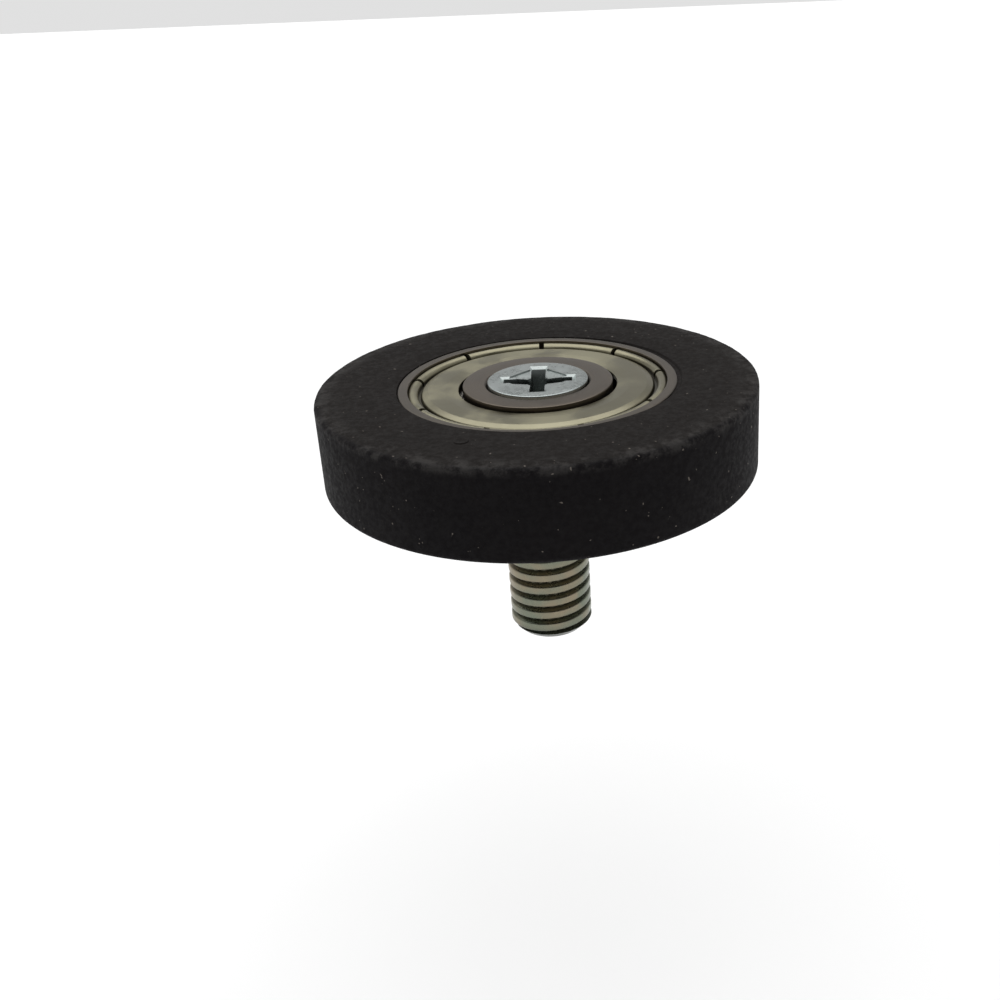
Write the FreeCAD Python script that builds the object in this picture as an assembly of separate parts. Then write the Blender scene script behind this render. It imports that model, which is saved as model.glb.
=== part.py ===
import FreeCAD, Part
import math
import os

# Stud-type cam follower: a shielded deep-groove ball bearing with a rubber tyre bonded round it,
# pressed on a stud that has a cross recess in its head, a seating collar and a metric thread.
# Millimetres, +Z up along the stud. The origin is on the axis, in the plane of the collar's seat.

Vec = FreeCAD.Vector

# --- Driving dimensions -------------------------------------------------------------------------
# Bearing
bearing_bore_r = 3.5
bearing_outer_r = 9.5
bearing_width = 6.0
ball_r = 1.75
ball_count = 7
ball_clearance = 0.02          # between a ball and the bottom of each raceway
raceway_r = 1.04 * ball_r      # radius of the raceways' section
inner_land_r = 5.1
outer_land_r = 7.8
ring_chamfer = 0.14            # at the bore and at the outer diameter
land_chamfer = 0.07            # at the inner ring's land
face_lip = 0.22                # straight part of the outer ring's face opening
face_lip_taper = 0.08          # below it, out to the shield's groove

# Shields
shield_gap = 0.3               # between the shield and the inner ring's land
shield_thickness = 0.25
shield_drop = 0.2              # from the ring's face down to the shield
shield_lip_r = 6.3             # inside this radius the shield dips towards the inner ring
shield_lip_dip = 0.06
shield_plateau_r = 7.45        # from here the shoulder slopes down
shield_shoulder_r = 7.85
shield_shoulder_drop = 0.34
shield_channel_r = 7.95
shield_channel_drop = 0.59
bead_inner_r = 8.14
bead_r = 0.36                  # radius of the rolled bead's section
bead_drop = 0.12
shield_mouth_r = 8.82          # inner edge of the outer ring's face
shield_slot_count = 9
shield_slot_turn = 90.0        # degrees, of the first slot
shield_slot_width = 0.35
shield_slot_floor = 0.12       # sheet left under each slot
shield_slot_overrun = 0.1      # each slot runs past both sides of the bead
shield_slot_reach = 1.0        # height of the slots' cutters
shield_web_r = 7.72            # underside of the shoulder, at the bead's foot
shield_web_taper = 0.25        # slope from there up to the plateau

# Cage
cage_inner_r = 5.6
cage_outer_r = 7.4
cage_sheet = 0.25
pocket_clearance = 0.1
rivet_r = 0.3
rivet_head_r = 0.5
rivet_head_height = 0.2

# Tyre
tyre_r = 15.0
tyre_overhang = 0.2            # beyond each face of the bearing
tyre_edge_r = 0.5
tyre_moat_width = 0.12         # shallow step that the mould leaves round the outer ring
tyre_moat_drop = 0.14          # below the ring's face

# Stud
collar_r = 4.8
collar_height = 1.0
collar_chamfer = 0.15
head_r = 3.42                  # just under the shank's radius, which leaves a gap round the head
head_length = 0.8
head_proud = 0.15              # above the ring's face
head_edge_r = 0.08
thread_crest_r = 2.95          # M6 x 1, right-hand
thread_length = 12.0           # from the collar's seat to the tip
tip_chamfer = 0.7
neck_fillet = 0.15             # between the thread and the collar's seat

# Cross recess
recess_depth = 2.2
wing_span = 5.0
wing_width = 1.07
wing_foot_span = 3.6
wing_foot_width = 0.8
core_top_r = 0.95
core_foot_r = 0.55
dish_half_diagonal = 2.55
dish_edge = 0.1                # depth of the step round the dish
dish_foot_half_diagonal = 1.3
dish_depth = 0.33
cutter_rise = 0.01             # of the recess's cutters above the head
core_overrun = 0.3             # of the core's cutter below the wings

# --- Derived dimensions -------------------------------------------------------------------------
half_width = bearing_width / 2
mid_z = collar_height + half_width
pitch_r = (bearing_bore_r + bearing_outer_r) / 2
head_top_z = collar_height + bearing_width + head_proud
axis_z = Vec(0, 0, 1)


# --- Helpers ------------------------------------------------------------------------------------
def edges_through(corners, place):
    """Closed run of edges. A corner is a pair of numbers; a pair of corners is an arc's middle and end."""
    edges = []
    here = corners[0]
    for step in corners[1:] + corners[:1]:
        if isinstance(step[0], tuple):
            middle, there = step
            edges.append(Part.Arc(place(here), place(middle), place(there)).toShape())
        else:
            there = step
            edges.append(Part.makeLine(place(here), place(there)))
        here = there
    return edges


def turned(corners):
    """Solid of revolution about Z of an outline given as (radius, height) corners."""
    outline = edges_through(corners, lambda corner: Vec(corner[0], 0, corner[1]))
    return Part.Face(Part.Wire(outline)).revolve(Vec(0, 0, 0), axis_z, 360)


def around_axis(shape, count, first_angle=0.0):
    """Copies of a shape, evenly spaced about Z."""
    copies = []
    for index in range(count):
        copy = shape.copy()
        copy.rotate(Vec(0, 0, 0), axis_z, first_angle + 360.0 * index / count)
        copies.append(copy)
    return copies


def raised(shape, height):
    return shape.translated(Vec(0, 0, height))


def flipped(shape):
    """Mirror image through the bearing's mid-plane, which is z = 0 while the bearing is being built."""
    return shape.mirror(Vec(0, 0, 0), axis_z)


def race_half_height(land_r, centre_r):
    """Height above the mid-plane at which a raceway's arc meets its land."""
    return math.sqrt(raceway_r ** 2 - (land_r - centre_r) ** 2)


def prism_between(top, foot, top_z, foot_z):
    """Ruled solid between two polygons of (x, y) corners."""
    wires = []
    for corners, height in ((top, top_z), (foot, foot_z)):
        wires.append(Part.Wire(edges_through(corners, lambda corner: Vec(corner[0], corner[1], height))))
    return Part.makeLoft(wires, True, True)


# --- Bearing rings ------------------------------------------------------------------------------
def make_outer_ring():
    centre_r = pitch_r + ball_r + ball_clearance - raceway_r
    race_z = race_half_height(outer_land_r, centre_r)
    groove_r = bead_inner_r + 2 * bead_r
    seat_z = half_width - bead_drop - 2 * bead_r
    lip_z = half_width - face_lip
    upper = [
        (bearing_outer_r - ring_chamfer, half_width),
        (shield_mouth_r, half_width),
        (shield_mouth_r, lip_z),
        (groove_r, lip_z - face_lip_taper),
        (groove_r, seat_z),
        (outer_land_r, seat_z),
        (outer_land_r, race_z),
    ]
    lower = [(radius, -height) for radius, height in reversed(upper)]
    race = ((centre_r + raceway_r, 0.0), lower[0])
    rim = [(bearing_outer_r, -half_width + ring_chamfer), (bearing_outer_r, half_width - ring_chamfer)]
    return turned(upper + [race] + lower[1:] + rim)


def make_inner_ring():
    centre_r = pitch_r - ball_r - ball_clearance + raceway_r
    race_z = race_half_height(inner_land_r, centre_r)
    upper = [
        (bearing_bore_r, half_width - ring_chamfer),
        (bearing_bore_r + ring_chamfer, half_width),
        (inner_land_r - land_chamfer, half_width),
        (inner_land_r, half_width - land_chamfer),
        (inner_land_r, race_z),
    ]
    lower = [(radius, -height) for radius, height in reversed(upper)]
    race = ((centre_r - raceway_r, 0.0), lower[0])
    return turned(upper + [race] + lower[1:])


# --- Shields ------------------------------------------------------------------------------------
def make_shield():
    inner_r = inner_land_r + shield_gap
    plateau_z = half_width - shield_drop
    channel_z = half_width - shield_channel_drop
    bead_mid_r = bead_inner_r + bead_r
    bead_z = half_width - bead_drop - bead_r
    bead_bend = bead_r * math.sqrt(0.5)
    foot_z = bead_z - bead_r
    disc = turned([
        (inner_r, plateau_z - shield_lip_dip),
        (shield_lip_r, plateau_z),
        (shield_plateau_r, plateau_z),
        (shield_shoulder_r, half_width - shield_shoulder_drop),
        (shield_channel_r, channel_z),
        (bead_inner_r, channel_z),
        (bead_inner_r, bead_z),
        ((bead_mid_r - bead_bend, bead_z + bead_bend), (bead_mid_r, bead_z + bead_r)),
        ((bead_mid_r + bead_r, bead_z), (bead_mid_r, foot_z)),
        (shield_web_r, foot_z),
        (shield_web_r - shield_web_taper, plateau_z - shield_thickness),
        (shield_lip_r, plateau_z - shield_thickness),
        (inner_r, plateau_z - shield_thickness - shield_lip_dip),
    ])
    slot_length = 2 * (bead_r + shield_slot_overrun)
    slot_corner = Vec(bead_inner_r - shield_slot_overrun, -shield_slot_width / 2, foot_z + shield_slot_floor)
    slot = Part.makeBox(slot_length, shield_slot_width, shield_slot_reach, slot_corner)
    return disc.cut(around_axis(slot, shield_slot_count, shield_slot_turn))


# --- Cage and balls -----------------------------------------------------------------------------
def make_cage_half():
    """Upper half of the pressed cage: flat webs between domed pockets."""
    band = Part.makeCylinder(cage_outer_r, 2 * ball_r).cut(Part.makeCylinder(cage_inner_r, 2 * ball_r))
    web = band.common(Part.makeCylinder(cage_outer_r, cage_sheet))
    centre = Vec(pitch_r, 0, 0)
    pocket_r = ball_r + pocket_clearance
    dome = Part.makeSphere(pocket_r + cage_sheet, centre).common(band)
    hollow = Part.makeSphere(pocket_r, centre)
    rivet_hole = Part.makeCylinder(rivet_r, cage_sheet, centre)
    half = web.fuse(around_axis(dome, ball_count)).cut(around_axis(hollow, ball_count))
    return half.cut(around_axis(rivet_hole, ball_count, 180.0 / ball_count)).removeSplitter()


def make_rivets():
    """One rivet in the middle of each web, with a domed head on both sides."""
    head_z = cage_sheet + rivet_head_height
    sphere_r = (rivet_head_r ** 2 + rivet_head_height ** 2) / (2 * rivet_head_height)
    half_angle = math.asin(rivet_head_r / sphere_r) / 2
    dome_r = sphere_r * math.sin(half_angle)
    dome_z = head_z - sphere_r * (1 - math.cos(half_angle))
    rivet = turned([
        (0.0, -head_z),
        ((dome_r, -dome_z), (rivet_head_r, -cage_sheet)),
        (rivet_r, -cage_sheet),
        (rivet_r, cage_sheet),
        (rivet_head_r, cage_sheet),
        ((dome_r, dome_z), (0.0, head_z)),
    ]).translated(Vec(pitch_r, 0, 0))
    return Part.makeCompound(around_axis(rivet, ball_count, 180.0 / ball_count))


def make_balls():
    return around_axis(Part.makeSphere(ball_r, Vec(pitch_r, 0, 0)), ball_count)


# --- Tyre ---------------------------------------------------------------------------------------
def make_tyre():
    face_z = half_width + tyre_overhang
    moat_z = half_width - tyre_moat_drop
    moat_r = bearing_outer_r + tyre_moat_width
    rise = face_z - moat_z
    bend = tyre_edge_r * (1 - math.sqrt(0.5))
    upper = [
        (bearing_outer_r, moat_z),
        (moat_r, moat_z),
        (moat_r + rise / 2, face_z),
        (tyre_r - tyre_edge_r, face_z),
    ]
    lower = [(radius, -height) for radius, height in reversed(upper)]
    top_edge = ((tyre_r - bend, face_z - bend), (tyre_r, face_z - tyre_edge_r))
    side = (tyre_r, -face_z + tyre_edge_r)
    foot_edge = ((tyre_r - bend, -face_z + bend), lower[0])
    return turned(upper + [top_edge, side, foot_edge] + lower[1:])


# --- Stud ---------------------------------------------------------------------------------------
def make_recess():
    """Cross recess: two tapered wings along X and Y, a conical core and a shallow four-sided dish."""
    top_z = head_top_z + cutter_rise
    foot_z = head_top_z - recess_depth

    def bar(span, breadth):
        x, y = span / 2, breadth / 2
        return [(-x, -y), (x, -y), (x, y), (-x, y)]

    def diamond(half_diagonal):
        return [(half_diagonal, 0.0), (0.0, half_diagonal), (-half_diagonal, 0.0), (0.0, -half_diagonal)]

    wing = prism_between(bar(wing_span, wing_width), bar(wing_foot_span, wing_foot_width), top_z, foot_z)
    core_foot_z = foot_z - core_overrun
    core = Part.makeCone(core_foot_r, core_top_r, top_z - core_foot_z, Vec(0, 0, core_foot_z))
    edge_z = head_top_z - dish_edge
    dish_edge_block = prism_between(diamond(dish_half_diagonal), diamond(dish_half_diagonal), top_z, edge_z)
    dish = prism_between(diamond(dish_half_diagonal), diamond(dish_foot_half_diagonal),
                         edge_z, head_top_z - dish_depth)
    return wing.fuse(around_axis(wing, 1, 90.0) + [core, dish_edge_block, dish])


def make_stud():
    """One turned piece: head, shank in the bearing's bore, collar and threaded end.

    The thread is a plain cylinder over its crests.
    """
    head_bend = head_edge_r * (1 - math.sqrt(0.5))
    neck_bend = neck_fillet * (1 - math.sqrt(0.5))
    body = turned([
        (0.0, -thread_length),
        (thread_crest_r - tip_chamfer, -thread_length),
        (thread_crest_r, -thread_length + tip_chamfer),
        (thread_crest_r, -neck_fillet),
        ((thread_crest_r + neck_bend, -neck_bend), (thread_crest_r + neck_fillet, 0.0)),
        (collar_r - collar_chamfer, 0.0),
        (collar_r, collar_chamfer),
        (collar_r, collar_height),
        (bearing_bore_r, collar_height),
        (bearing_bore_r, head_top_z - head_length),
        (head_r, head_top_z - head_length + bearing_bore_r - head_r),
        (head_r, head_top_z - head_edge_r),
        ((head_r - head_bend, head_top_z - head_bend), (head_r - head_edge_r, head_top_z)),
        (0.0, head_top_z),
    ])
    return body.cut(make_recess())


# --- Nodes --------------------------------------------------------------------------------------
def make_nodes():
    shield = make_shield()
    cage_half = make_cage_half()
    bearing_parts = {
        "tyre": make_tyre(),
        "outer_ring": make_outer_ring(),
        "inner_ring": make_inner_ring(),
        "upper_shield": shield,
        "lower_shield": flipped(shield),
        "cage_upper_half": cage_half,
        "cage_lower_half": flipped(cage_half),
        "cage_rivets": make_rivets(),
    }
    for index, ball in enumerate(make_balls(), start=1):
        bearing_parts[f"ball_{index}"] = ball
    nodes = {name: raised(shape, mid_z) for name, shape in bearing_parts.items()}
    nodes["stud"] = make_stud()
    return nodes


os.makedirs("parts", exist_ok=True)
for name, shape in make_nodes().items():
    shape.exportStep(f"parts/{name}.step")
    print(f"{name}: {len(shape.Solids)} solid(s), {shape.Volume:.2f} mm3, valid {shape.isValid()}")
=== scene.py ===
import math

import bmesh
import bpy
from mathutils import Matrix, Vector, noise


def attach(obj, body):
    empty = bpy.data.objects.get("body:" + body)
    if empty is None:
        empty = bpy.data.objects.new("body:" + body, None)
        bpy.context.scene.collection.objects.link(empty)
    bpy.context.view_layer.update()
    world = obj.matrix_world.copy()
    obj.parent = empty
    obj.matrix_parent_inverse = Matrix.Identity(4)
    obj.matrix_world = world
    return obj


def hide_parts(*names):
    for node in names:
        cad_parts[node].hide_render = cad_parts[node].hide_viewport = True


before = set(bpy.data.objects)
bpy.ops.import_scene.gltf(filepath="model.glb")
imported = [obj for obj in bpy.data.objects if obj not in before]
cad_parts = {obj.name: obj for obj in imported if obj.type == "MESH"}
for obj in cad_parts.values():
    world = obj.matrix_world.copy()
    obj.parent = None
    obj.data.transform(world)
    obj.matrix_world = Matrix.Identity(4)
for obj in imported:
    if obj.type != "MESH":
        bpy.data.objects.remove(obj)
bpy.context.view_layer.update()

# A stud-type cam follower: a rubber tyre on a shielded ball bearing, on a zinc-plated threaded stud.
# Every mesh is written in millimetres in the row's frame and scaled to metres when it is made.

MM = 0.001
WHEEL, STUD = "wheel", "stud"

# --- Sizes, in millimetres, the same as the CAD's -----------------------------------------------
collar_height = 1.0
bearing_width = 6.0
half_width = bearing_width / 2
mid_z = collar_height + half_width
face_z = collar_height + bearing_width
pitch_r = 6.5
ball_r = 1.75
raceway_r = 1.04 * ball_r
ball_clearance = 0.02
bore_r, inner_land_r, outer_land_r, bearing_outer_r = 3.5, 5.1, 7.8, 9.5
tyre_r = 15.0
tyre_overhang = 0.2
gate_mark_height = 0.06
tyre_top_z = face_z + tyre_overhang - gate_mark_height
moat_width, moat_extra, moat_heading = 0.05, 0.34, 0.25    # the extra is on the +X side; heading in radians
lip_rise, near_lip_rise = 0.03, 0.15
thread_pitch = 1.0
thread_crest_r, thread_depth = 2.95, 0.36
thread_length = 12.0
tip_chamfer = 0.7
collar_r = 4.8
head_r, head_length = 3.42, 0.8
head_top_z = face_z + 0.15
head_edge_r = 0.06
shield_slots = 9
first_slot = 90.0              # degrees
slot_width = 0.35
recess_depth = 2.2
dish_edge, dish_depth = 0.1, 0.21


# --- Outlines -----------------------------------------------------------------------------------
def rounded(corners, steps=7):
    """Outline through (r, z, radius) corners with each corner rounded to its radius, as (r, z) points."""
    points = []
    count = len(corners)
    for index, (r, z, radius) in enumerate(corners):
        here = Vector((r, z))
        if radius == 0:
            points.append(here)
            continue
        before = (Vector(corners[index - 1][:2]) - here).normalized()
        after = (Vector(corners[(index + 1) % count][:2]) - here).normalized()
        half = before.angle(after) / 2
        start = before * radius / math.tan(half)
        centre = (before + after).normalized() * radius / math.sin(half)
        turn = (math.pi - 2 * half) * (1 if before.cross(after) < 0 else -1)
        for k in range(steps + 1):
            points.append(here + centre + Matrix.Rotation(turn * k / steps, 2) @ (start - centre))
    return [(p.x, p.y) for p in points]


def arc_points(centre, radius, first, last, steps):
    """Points of an arc in the (r, z) plane between two angles in degrees."""
    points = []
    for k in range(steps + 1):
        angle = math.radians(first + (last - first) * k / steps)
        points.append((centre[0] + radius * math.cos(angle), centre[1] + radius * math.sin(angle)))
    return points


# --- Meshes -------------------------------------------------------------------------------------
def new_object(name, bm, crease=32):
    """Object from a bmesh in millimetres, smooth except at edges sharper than crease degrees."""
    bmesh.ops.recalc_face_normals(bm, faces=bm.faces)
    bmesh.ops.scale(bm, vec=(MM, MM, MM), verts=bm.verts)
    mesh = bpy.data.meshes.new(name)
    bm.to_mesh(mesh)
    bm.free()
    for face in mesh.polygons:
        face.use_smooth = True
    mesh.set_sharp_from_angle(angle=math.radians(crease))
    piece = bpy.data.objects.new(name, mesh)
    bpy.context.scene.collection.objects.link(piece)
    return piece


def even_angles(count):
    return [360.0 * k / count for k in range(count)]


def lathe(outline_at, angles):
    """Closed surface of revolution; outline_at(angle) gives the same number of (r, z) points at each angle.
    The outline is closed, unless it starts and ends on the axis."""
    bm = bmesh.new()
    rings = []
    poles = {}
    for angle in angles:
        cosine, sine = math.cos(math.radians(angle)), math.sin(math.radians(angle))
        ring = []
        for index, (r, z) in enumerate(outline_at(angle)):
            if r < 1e-6:
                if index not in poles:
                    poles[index] = bm.verts.new((0, 0, z))
                ring.append(poles[index])
            else:
                ring.append(bm.verts.new((r * cosine, r * sine, z)))
        rings.append(ring)
    closed = not poles
    count = len(rings[0])
    for a, ring in enumerate(rings):
        following = rings[(a + 1) % len(rings)]
        for k in range(count if closed else count - 1):
            n = (k + 1) % count
            corners = []
            for vert in (ring[k], following[k], following[n], ring[n]):
                if vert not in corners:
                    corners.append(vert)
            if len(corners) > 2:
                bm.faces.new(corners)
    return bm


def same_at_every_angle(outline):
    return lambda angle: outline


# --- Tyre ---------------------------------------------------------------------------------------
def tyre_outline(angle):
    """The tyre's section. The step round the outer ring is wider on the +X side."""
    top = tyre_top_z
    foot = collar_height - tyre_overhang
    rad = math.radians(angle)
    spot = Vector((math.cos(rad), math.sin(rad), 0)) * tyre_r
    wobble = 0.018 * noise.noise(spot * 0.4) + 0.016 * noise.noise(spot * 1.9)
    moat = moat_width + moat_extra * max(0.0, math.cos(rad - moat_heading)) ** 2 + wobble
    lip = face_z + lip_rise + near_lip_rise * max(0.0, -math.sin(rad))
    edge = tyre_r - 0.02
    shoulder_r = edge - 1.1
    return rounded([
        (bearing_outer_r, face_z - 0.12, 0.0),
        (bearing_outer_r + moat * 0.7, face_z - 0.1, 0.02),
        (bearing_outer_r + moat, lip, 0.04),
        (bearing_outer_r + moat + 1.3, top, 0.5),
        (shoulder_r, top, 0.5),
        (edge + wobble, top - 0.08 + wobble, 0.3 + wobble),
        (edge, foot + 0.12, 0.42),
        (shoulder_r, foot, 0.5),
        (bearing_outer_r + 0.8, foot, 0.3),
        (bearing_outer_r + 0.2, foot + 0.03, 0.04),
        (bearing_outer_r + 0.14, collar_height + 0.1, 0.02),
        (bearing_outer_r, collar_height + 0.12, 0.0),
    ])


def make_tyre():
    return new_object("rubber_tyre", lathe(tyre_outline, even_angles(480)), crease=40)


def make_gate_mark():
    """Small round mark that the mould's gate left on the tyre's top face."""
    centre = Vector((-4.25, -10.6, tyre_top_z))
    outline = [(0.0, 0.015), (0.26, 0.015), (0.31, 0.045), (0.38, gate_mark_height), (0.45, 0.045),
               (0.5, -0.06), (0.0, -0.06)]
    bm = lathe(same_at_every_angle(outline), even_angles(48))
    bmesh.ops.translate(bm, vec=centre, verts=bm.verts)
    return new_object("gate_mark", bm, crease=50)


# --- Rings --------------------------------------------------------------------------------------
def race_arc(centre_r, land_r, side):
    """Raceway between its two lands, from +Z to -Z; side is 1 for the outer ring and -1 for the inner."""
    reach = math.degrees(math.acos((land_r - centre_r) * side / raceway_r))
    middle = 0 if side > 0 else 180
    return arc_points((centre_r, mid_z), raceway_r, middle + side * reach, middle - side * reach, 28)


def make_outer_ring():
    lip, lip_taper, seat, groove_r, mouth_r = 0.22, 0.08, 0.84, 8.86, 8.82
    upper = rounded([
        (bearing_outer_r, mid_z + 2.0, 0.0),
        (bearing_outer_r, face_z, 0.12),
        (mouth_r, face_z, 0.05),
        (mouth_r, face_z - lip, 0.0),
        (groove_r, face_z - lip - lip_taper, 0.0),
        (groove_r, face_z - seat, 0.0),
        (outer_land_r, face_z - seat, 0.05),
        (outer_land_r, mid_z + 1.25, 0.0),
    ])
    lower = [(r, 2 * mid_z - z) for r, z in reversed(upper)]
    race = race_arc(pitch_r + ball_r + ball_clearance - raceway_r, outer_land_r, 1)
    bm = lathe(same_at_every_angle(upper + race + lower), even_angles(288))
    return new_object("bearing_outer_ring", bm)


def make_inner_ring():
    chamfer = 0.14
    upper = rounded([
        (bore_r, mid_z + 2.0, 0.0),
        (bore_r, face_z - chamfer, 0.05),
        (bore_r + chamfer, face_z, 0.05),
        (inner_land_r, face_z, 0.07),
        (inner_land_r, mid_z + 1.15, 0.0),
    ])
    lower = [(r, 2 * mid_z - z) for r, z in reversed(upper)]
    race = race_arc(pitch_r - ball_r - ball_clearance + raceway_r, inner_land_r, -1)
    bm = lathe(same_at_every_angle(upper + race + lower), even_angles(240))
    return new_object("bearing_inner_ring", bm)


# --- Shields ------------------------------------------------------------------------------------
def shield_outline(slotted):
    """The pressed shield's section: dipped lip, plateau, shoulder, channel and rolled bead.

    A slot cuts the bead down.
    """
    plateau, channel, foot = face_z - 0.2, face_z - 0.59, face_z - 0.84
    sheet, lip_dip, shoulder_drop, slot_floor = 0.25, 0.06, 0.14, 0.12
    inner_r, lip_r, plateau_r, shoulder_r, channel_r = 5.4, 6.3, 7.45, 7.85, 7.96
    web_r, web_top_r = 7.72, 7.47
    bead_r, bead_inner_r = 0.36, 8.14
    bead_mid = (bead_inner_r + bead_r, foot + bead_r)
    upper = rounded([
        (inner_r, foot + 0.3, 0.0),
        (inner_r, plateau - lip_dip, 0.05),
        (lip_r, plateau, 0.8),
        (plateau_r, plateau, 0.3),
        (shoulder_r, plateau - shoulder_drop, 0.12),
        (channel_r, channel, 0.05),
        (bead_inner_r, channel, 0.0),
    ])[1:]
    bead = arc_points(bead_mid, bead_r, 180, -90, 26)
    if slotted:
        bead = [(r, min(z, foot + slot_floor)) for r, z in bead]
    lower = [(web_r, foot), (web_top_r, plateau - sheet), (lip_r, plateau - sheet),
             (inner_r, plateau - sheet - lip_dip)]
    return upper + bead + lower


def make_shield(name, lower=False):
    bead_mid_r = 8.5
    half_slot = math.degrees(slot_width / 2 / bead_mid_r)
    wall = 0.12                # degrees that a slot's side takes up
    steps = 32
    plain, slotted = shield_outline(False), shield_outline(True)
    angles = []
    spacing = 360.0 / shield_slots
    for slot in range(shield_slots):
        middle = first_slot + slot * spacing
        angles += [middle - half_slot - wall, middle - half_slot, middle, middle + half_slot,
                   middle + half_slot + wall]
        reach = spacing - 2 * (half_slot + wall)
        angles += [middle + half_slot + wall + reach * k / steps for k in range(1, steps)]

    def outline_at(angle):
        offset = abs((angle - first_slot + spacing / 2) % spacing - spacing / 2)
        return slotted if offset < half_slot + wall / 2 else plain

    bm = lathe(outline_at, angles)
    if lower:
        bmesh.ops.scale(bm, vec=(1, 1, -1), verts=bm.verts)
        bmesh.ops.translate(bm, vec=(0, 0, 2 * mid_z), verts=bm.verts)
    return new_object(name, bm, crease=40)


# --- Stud ---------------------------------------------------------------------------------------
def smooth_step(low, high, value):
    t = min(1.0, max(0.0, (value - low) / (high - low)))
    return t * t * (3 - 2 * t)


def thread_radius(angle, z):
    """Surface of the right-hand thread: wide crests and narrow rounded roots that fade out at the neck."""
    root_sharpness = 9
    phase = z / thread_pitch - angle / 360.0
    groove = abs(math.cos(math.pi * phase)) ** root_sharpness * (1 - smooth_step(-1.5, -0.6, z))
    return thread_crest_r - thread_depth * groove


def stud_outline(angle):
    """The stud's section at one angle, from the tip up to the head, with the thread's grooves in it."""
    tip = -thread_length
    tip_r = thread_crest_r - tip_chamfer
    edge_r = 0.12
    points = [(0.0, tip + 0.1), (1.2, tip + 0.08), (1.5, tip + 0.02)]
    points += arc_points((tip_r - edge_r, tip + edge_r), edge_r, -90, -45, 4)
    z_low, z_high = tip + edge_r, -0.15
    rows = 300
    for k in range(rows + 1):
        z = z_low + (z_high - z_low) * k / rows
        chamfer = tip_r + (z - tip)
        points.append((min(chamfer, thread_radius(angle, z)), z))
    points += rounded([
        (thread_crest_r, z_high, 0.0),
        (thread_crest_r, 0.0, 0.14),
        (collar_r, 0.0, 0.15),
        (collar_r, collar_height, 0.1),
        (bore_r, collar_height, 0.0),
        (bore_r, head_top_z - head_length, 0.0),
        (head_r, head_top_z - head_length + bore_r - head_r, 0.0),
        (head_r, head_top_z - 0.015, head_edge_r),
        (head_r - 0.5, head_top_z, 0.3),
        (0.0, head_top_z, 0.0),
    ])[1:]
    return points


def convex(corners):
    """Closed convex block through (x, y, z) corners."""
    bm = bmesh.new()
    for corner in corners:
        bm.verts.new(corner)
    bmesh.ops.convex_hull(bm, input=bm.verts)
    return bm


def recess_blocks():
    """The blocks that make the cross recess: a shallow four-sided dish, two tapered wings and a core."""
    top = head_top_z + 0.4
    blocks = []

    def diamond(reach, z):
        return [(reach, 0, z), (0, reach, z), (-reach, 0, z), (0, -reach, z)]

    def bar(span, breadth, z, turned):
        corners = [(x * span / 2, y * breadth / 2, z) for x in (-1, 1) for y in (-1, 1)]
        return [(y, x, z) for x, y, z in corners] if turned else corners

    blocks.append(convex(diamond(2.6, top + 0.2) + diamond(2.54, head_top_z - dish_edge)
                         + diamond(1.3, head_top_z - dish_depth)))
    for turned in (False, True):
        foot = bar(3.6, 0.8, head_top_z - recess_depth, turned)
        blocks.append(convex(foot + bar(5.0, 1.06, top, turned)))
        rim = bar(5.3, 1.36, head_top_z + 0.05, turned) + bar(5.3, 1.36, top + 0.1, turned)
        blocks.append(convex(rim + bar(4.9, 0.96, head_top_z - 0.17, turned)))
    sides = 24
    core = []
    for k in range(sides):
        angle = 2 * math.pi * k / sides
        for radius, z in ((1.0, top + 0.3), (0.55, head_top_z - recess_depth - 0.1)):
            core.append((radius * math.cos(angle), radius * math.sin(angle), z))
    core.append((0, 0, head_top_z - recess_depth - 0.3))
    blocks.append(convex(core))
    return blocks


def make_stud():
    """The stud with its recess. The lathe is turned a little, so none of its edges meets the recess's."""
    angles = [angle + 0.7 for angle in even_angles(180)]
    piece = new_object("zinc_stud", lathe(stud_outline, angles), crease=30)
    for index, block in enumerate(recess_blocks()):
        cutter = new_object(f"recess_{index}", block)
        cut = piece.modifiers.new("cut", "BOOLEAN")
        cut.operation = "DIFFERENCE"
        cut.solver = "MANIFOLD"
        cut.object = cutter
        graph = bpy.context.evaluated_depsgraph_get()
        mesh = bpy.data.meshes.new_from_object(piece.evaluated_get(graph))
        piece.modifiers.clear()
        piece.data = mesh
        bpy.data.objects.remove(cutter)
    for face in piece.data.polygons:
        face.use_smooth = True
    piece.data.set_sharp_from_angle(angle=math.radians(30))
    return piece


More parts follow.
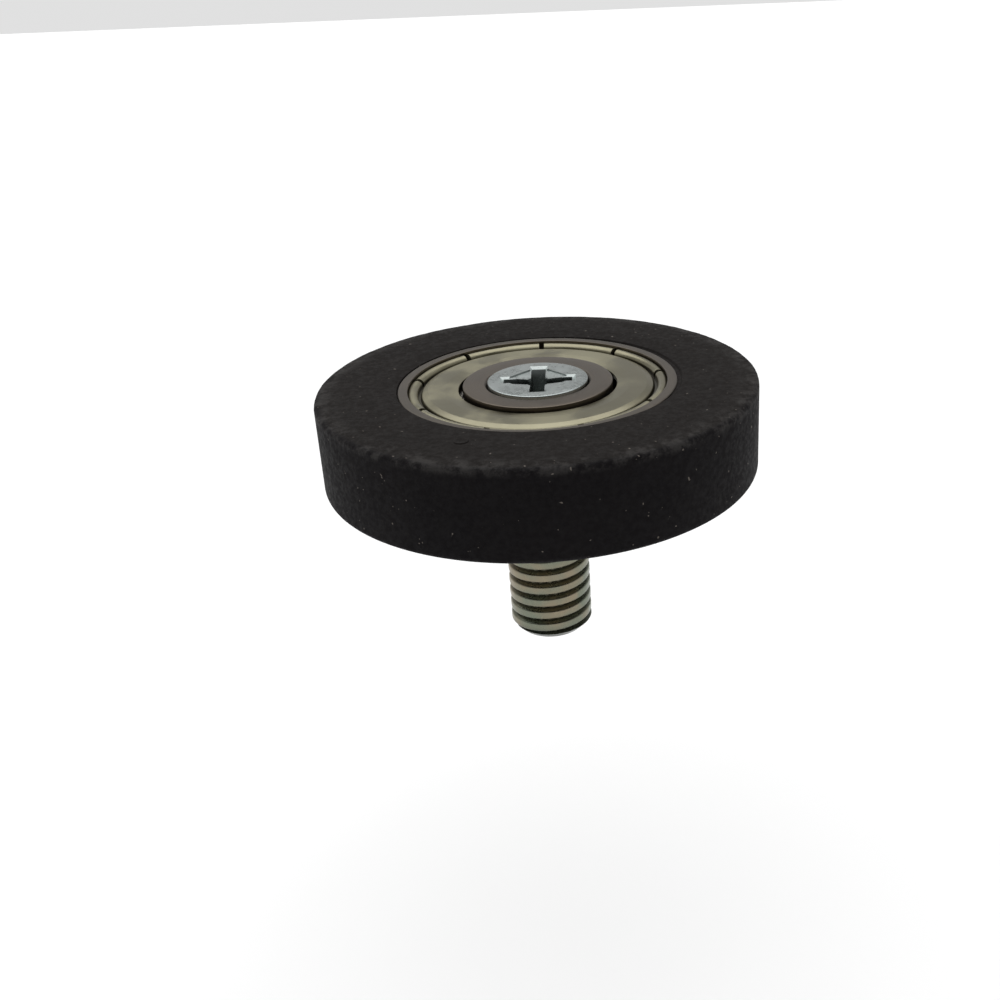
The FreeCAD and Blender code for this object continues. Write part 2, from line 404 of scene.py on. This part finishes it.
# --- Materials ----------------------------------------------------------------------------------
class Nodes:
    """Short names for building one material's node tree."""

    def __init__(self, name):
        self.material = bpy.data.materials.new(name)
        self.material.use_nodes = True
        self.tree = self.material.node_tree
        self.shader = self.tree.nodes["Principled BSDF"]
        self.coords = self.add("ShaderNodeTexCoord").outputs["Object"]

    def add(self, kind, **settings):
        node = self.tree.nodes.new(kind)
        for key, value in settings.items():
            setattr(node, key, value)
        return node

    def put(self, socket, value):
        if isinstance(value, bpy.types.NodeSocket):
            self.tree.links.new(value, socket)
        else:
            socket.default_value = value

    def math(self, operation, a, b=0.0):
        node = self.add("ShaderNodeMath", operation=operation)
        self.put(node.inputs[0], a)
        self.put(node.inputs[1], b)
        return node.outputs[0]

    def noise(self, scale, detail=4.0, rough=0.6, coords=None):
        node = self.add("ShaderNodeTexNoise")
        self.put(node.inputs["Vector"], coords or self.coords)
        self.put(node.inputs["Scale"], scale)
        self.put(node.inputs["Detail"], detail)
        self.put(node.inputs["Roughness"], rough)
        return node.outputs["Fac"]

    def band(self, value, low, high, to_low=0.0, to_high=1.0):
        node = self.add("ShaderNodeMapRange", interpolation_type="SMOOTHSTEP")
        for index, number in enumerate((value, low, high, to_low, to_high)):
            self.put(node.inputs[index], number)
        return node.outputs[0]

    def mix(self, share, a, b):
        node = self.add("ShaderNodeMix", data_type="RGBA")
        self.put(node.inputs[0], share)
        self.put(node.inputs[6], a)
        self.put(node.inputs[7], b)
        return node.outputs[2]

    def bump(self, height, distance, strength):
        node = self.add("ShaderNodeBump")
        self.put(node.inputs["Height"], height)
        self.put(node.inputs["Distance"], distance)
        self.put(node.inputs["Strength"], strength)
        return node.outputs[0]

    def polar(self):
        """Radius and height in metres, and the angle round the stud's axis in radians."""
        split = self.add("ShaderNodeSeparateXYZ")
        self.put(split.inputs[0], self.coords)
        x, y, z = split.outputs
        squares = self.math("ADD", self.math("MULTIPLY", x, x), self.math("MULTIPLY", y, y))
        return self.math("SQRT", squares), z, self.math("ARCTAN2", y, x)

    def rings(self, per_mm):
        """Fine concentric turning marks, as 0 to 1."""
        radius, z, angle = self.polar()
        spread = self.add("ShaderNodeCombineXYZ")
        self.put(spread.inputs[0], self.math("MULTIPLY", radius, per_mm / MM))
        self.put(spread.inputs[1], self.math("MULTIPLY", angle, 0.6))
        self.put(spread.inputs[2], self.math("MULTIPLY", z, per_mm / MM))
        return self.noise(1.0, 3.0, 0.7, spread.outputs[0])

    def finish(self, colour, metallic, roughness, normal=None, specular=0.5):
        self.put(self.shader.inputs["Base Color"], colour)
        self.put(self.shader.inputs["Metallic"], metallic)
        self.put(self.shader.inputs["Roughness"], roughness)
        self.shader.inputs["Specular IOR Level"].default_value = specular
        if normal:
            self.put(self.shader.inputs["Normal"], normal)
        return self.material


def rgb(r, g, b):
    return (r, g, b, 1.0)


def rubber_material():
    """Matte black rubber: brownish faces, a scuffed grey band along the upper edge and pale dust specks."""
    n = Nodes("tyre_rubber")
    radius, z, _ = n.polar()
    top_z = tyre_top_z * MM
    grain = n.noise(2600, 3.0, 0.7)
    blotches = n.noise(260, 4.0, 0.6)
    scuffs = n.noise(900, 5.0, 0.75)
    on_side = n.band(radius, (tyre_r - 0.5) * MM, (tyre_r - 0.1) * MM)
    face = n.mix(blotches, rgb(0.0066, 0.0054, 0.0048), rgb(0.012, 0.01, 0.009))
    side = n.mix(blotches, rgb(0.0026, 0.0021, 0.0028), rgb(0.0068, 0.0056, 0.006))
    colour = n.mix(on_side, face, side)
    low = n.band(z, top_z - 0.75 * MM, top_z - 0.25 * MM)
    near = n.band(radius, (tyre_r - 1.7) * MM, (tyre_r - 0.5) * MM)
    edge = n.math("MULTIPLY", low, near)
    worn = n.math("MULTIPLY", edge, n.band(scuffs, 0.42, 0.62))
    colour = n.mix(n.math("MULTIPLY", worn, 0.5), colour, rgb(0.05, 0.047, 0.045))
    specks = n.band(n.noise(3200, 1.0, 0.4), 0.75, 0.79)
    colour = n.mix(n.math("MULTIPLY", specks, 0.8), colour, rgb(0.13, 0.115, 0.1))
    rough = n.band(grain, 0.3, 0.7, 0.62, 0.85)
    normal = n.bump(n.math("ADD", grain, scuffs), 0.03 * MM, 0.5)
    return n.finish(colour, 0.0, rough, normal, specular=0.09)


def ground_steel(name, dark, light, rough_low, rough_high):
    """Ground bearing steel with fine concentric marks."""
    n = Nodes(name)
    marks = n.rings(9.0)
    stains = n.noise(420, 4.0, 0.6)
    colour = n.mix(n.math("MULTIPLY", n.math("ADD", marks, stains), 0.5), dark, light)
    rough = n.band(n.math("ADD", marks, stains), 0.6, 1.4, rough_low, rough_high)
    return n.finish(colour, 1.0, rough, n.bump(marks, 0.004 * MM, 0.5))


def shield_material():
    """Pressed sheet, satin and slightly olive, with faint stains, and painted shade darkening the channel
    and the bead's base.
    """
    n = Nodes("shield_sheet")
    _, z, _ = n.polar()
    stains = n.band(n.noise(210, 4.0, 0.55), 0.3, 0.7)
    fine = n.noise(2600, 3.0, 0.6)
    colour = n.mix(stains, rgb(0.2, 0.185, 0.128), rgb(0.285, 0.268, 0.188))
    # Painted shade: the sheet darkens with depth below the bearing's face, in the channel and at the bead's
    # base.
    below_face = n.math("SUBTRACT", half_width * MM, n.math("ABSOLUTE", n.math("SUBTRACT", z, mid_z * MM)))
    channel_shade = n.band(below_face, 0.3 * MM, 0.52 * MM)
    colour = n.mix(n.math("MULTIPLY", channel_shade, 0.85), colour, rgb(0.035, 0.031, 0.024))
    rough = n.band(n.math("ADD", stains, n.math("MULTIPLY", fine, 0.5)), 0.5, 1.0, 0.3, 0.46)
    return n.finish(colour, 1.0, rough, n.bump(fine, 0.003 * MM, 0.5))


def zinc_material():
    """Zinc plate: bluish on the head and olive in the thread, with painted shade that darkens the thread
    below the head, the recess, the grooves and the tip.
    """
    n = Nodes("zinc_plate")
    radius, z, _ = n.polar()
    stains = n.noise(480, 4.0, 0.6)
    fine = n.noise(3200, 3.0, 0.6)
    up = n.band(z, 0.0, 6 * MM)
    head = n.mix(stains, rgb(0.29, 0.325, 0.315), rgb(0.45, 0.48, 0.475))
    tarnish = n.band(n.noise(230, 3.0, 0.6), 0.38, 0.62)
    # Painted shade: the thread's zinc is kept much darker than the head's; its olive tones are tarnish.
    thread = n.mix(tarnish, rgb(0.165, 0.182, 0.14), rgb(0.245, 0.21, 0.148))
    # Painted shade: the thread's roots are darkened by their depth below the crest.
    groove = n.band(radius, (thread_crest_r - 0.34) * MM, (thread_crest_r - 0.05) * MM, 1.0, 0.0)
    # Painted shade: the thread darkens over its last millimetre to the tip, where the chamfer faces down.
    tip = n.band(z, (-thread_length + 0.3) * MM, (-thread_length + 1.3) * MM, 1.0, 0.0)
    thread = n.mix(n.math("MULTIPLY", groove, 0.75), thread, rgb(0.07, 0.068, 0.052))
    thread = n.mix(n.math("MULTIPLY", tip, 0.9), thread, rgb(0.06, 0.066, 0.058))
    # Painted shade: the head's recess and its side wall darken below the head's top.
    recess_shade = n.band(z, (head_top_z - 0.8) * MM, (head_top_z - 0.12) * MM, 1.0, 0.0)
    head = n.mix(n.math("MULTIPLY", recess_shade, 0.85), head, rgb(0.07, 0.08, 0.076))
    colour = n.mix(up, thread, head)
    rough = n.band(n.math("ADD", stains, fine), 0.7, 1.3, 0.22, 0.38)
    return n.finish(colour, 1.0, rough, n.bump(n.math("ADD", stains, fine), 0.004 * MM, 0.5))


def floor_material():
    n = Nodes("floor_paint")
    colour = n.mix(n.noise(6, 2.0), rgb(0.9, 0.9, 0.9), rgb(0.93, 0.93, 0.93))
    return n.finish(colour, 0.0, 0.9, specular=0.1)


# --- Assembly -----------------------------------------------------------------------------------
def dress(piece, material, body=None, node=None):
    """Gives a piece its material and the body it rides on, and hides the CAD node it stands for."""
    piece.data.materials.clear()
    piece.data.materials.append(material)
    if body:
        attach(piece, body)
    if node:
        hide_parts(node)


def build_object():
    rubber = rubber_material()
    shield = shield_material()
    outer_steel = ground_steel("outer_ring_steel", rgb(0.085, 0.073, 0.059), rgb(0.128, 0.112, 0.093),
                               0.3, 0.45)
    inner_steel = ground_steel("inner_ring_steel", rgb(0.092, 0.077, 0.061), rgb(0.14, 0.118, 0.095),
                               0.28, 0.42)
    cage_steel = ground_steel("cage_sheet", rgb(0.3, 0.29, 0.26), rgb(0.45, 0.43, 0.4), 0.3, 0.5)
    ball_steel = ground_steel("ball_steel", rgb(0.6, 0.6, 0.6), rgb(0.7, 0.7, 0.7), 0.05, 0.12)
    dress(make_tyre(), rubber, WHEEL, "tyre")
    dress(make_gate_mark(), rubber, WHEEL)
    dress(make_outer_ring(), outer_steel, WHEEL, "outer_ring")
    dress(make_inner_ring(), inner_steel, STUD, "inner_ring")
    dress(make_shield("shield_top"), shield, WHEEL, "upper_shield")
    dress(make_shield("shield_bottom", lower=True), shield, WHEEL, "lower_shield")
    dress(make_stud(), zinc_material(), STUD, "stud")
    for name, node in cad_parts.items():
        if name.startswith("cage"):
            dress(node, cage_steel)
        elif name.startswith("ball"):
            dress(node, ball_steel)


# --- Stage, light and camera --------------------------------------------------------------------
floor_gap = 30.0
floor_z = -thread_length - floor_gap
ring_centre = Vector((0, 0, face_z))


def make_floor():
    bm = bmesh.new()
    reach = 1500
    corners = [bm.verts.new((x, y, floor_z)) for x, y in ((-reach, -reach), (reach, -reach), (reach, reach),
                                                         (-reach, reach))]
    bm.faces.new(corners)
    piece = new_object("floor", bm)
    piece.data.materials.append(floor_material())


def make_lights():
    """A very broad overhead light in a pale sky that darkens towards the zenith and on the near side."""
    data = bpy.data.lights.new("overhead", "SUN")
    data.energy = 2.9
    data.angle = math.radians(95)
    sun = bpy.data.objects.new("overhead", data)
    sun.rotation_euler = Vector((0.1, -0.1, -1)).to_track_quat("-Z", "Y").to_euler()
    bpy.context.scene.collection.objects.link(sun)
    world = bpy.data.worlds.new("studio")
    world.use_nodes = True
    tree = world.node_tree
    direction = tree.nodes.new("ShaderNodeTexCoord")
    split = tree.nodes.new("ShaderNodeSeparateXYZ")
    tree.links.new(direction.outputs["Generated"], split.inputs[0])
    shades = []
    for axis, low, high, at_low, at_high in (("Z", 0.0, 0.45, 0.75, 0.36), ("Y", -0.75, 0.1, 0.25, 1.0)):
        band = tree.nodes.new("ShaderNodeMapRange")
        band.interpolation_type = "SMOOTHSTEP"
        tree.links.new(split.outputs[axis], band.inputs[0])
        for index, number in enumerate((low, high, at_low, at_high), start=1):
            band.inputs[index].default_value = number
        shades.append(band.outputs[0])
    strength = tree.nodes.new("ShaderNodeMath")
    strength.operation = "MULTIPLY"
    tree.links.new(shades[0], strength.inputs[0])
    tree.links.new(shades[1], strength.inputs[1])
    background = tree.nodes["Background"]
    background.inputs["Color"].default_value = rgb(1.0, 1.0, 1.0)
    tree.links.new(strength.outputs[0], background.inputs["Strength"])
    bpy.context.scene.world = world


def make_camera():
    """Looks from the front and above, a little rolled, with the tyre in the frame's upper middle."""
    elevation, roll = math.radians(23.59), math.radians(2.31)
    distance, lens = 80.5, 42.55
    aside, above = -4.24, 5.4
    look = Vector((0, math.cos(elevation), -math.sin(elevation)))
    level_up = Vector((0, math.sin(elevation), math.cos(elevation)))
    level_right = Vector((1, 0, 0))
    right = math.cos(roll) * level_right - math.sin(roll) * level_up
    up = math.sin(roll) * level_right + math.cos(roll) * level_up
    place = ring_centre - aside * right - above * up - distance * look
    data = bpy.data.cameras.new("camera")
    data.lens = lens
    data.sensor_width = 36
    data.shift_x, data.shift_y = -0.1, -0.04
    data.clip_start, data.clip_end = 1 * MM, 5.0
    camera = bpy.data.objects.new("camera", data)
    camera.matrix_world = Matrix.Translation(place * MM) @ Matrix((right, up, -look)).transposed().to_4x4()
    bpy.context.scene.collection.objects.link(camera)
    bpy.context.scene.camera = camera


bpy.context.scene.view_settings.view_transform = "Standard"
make_camera()
build_object()
make_floor()
make_lights()
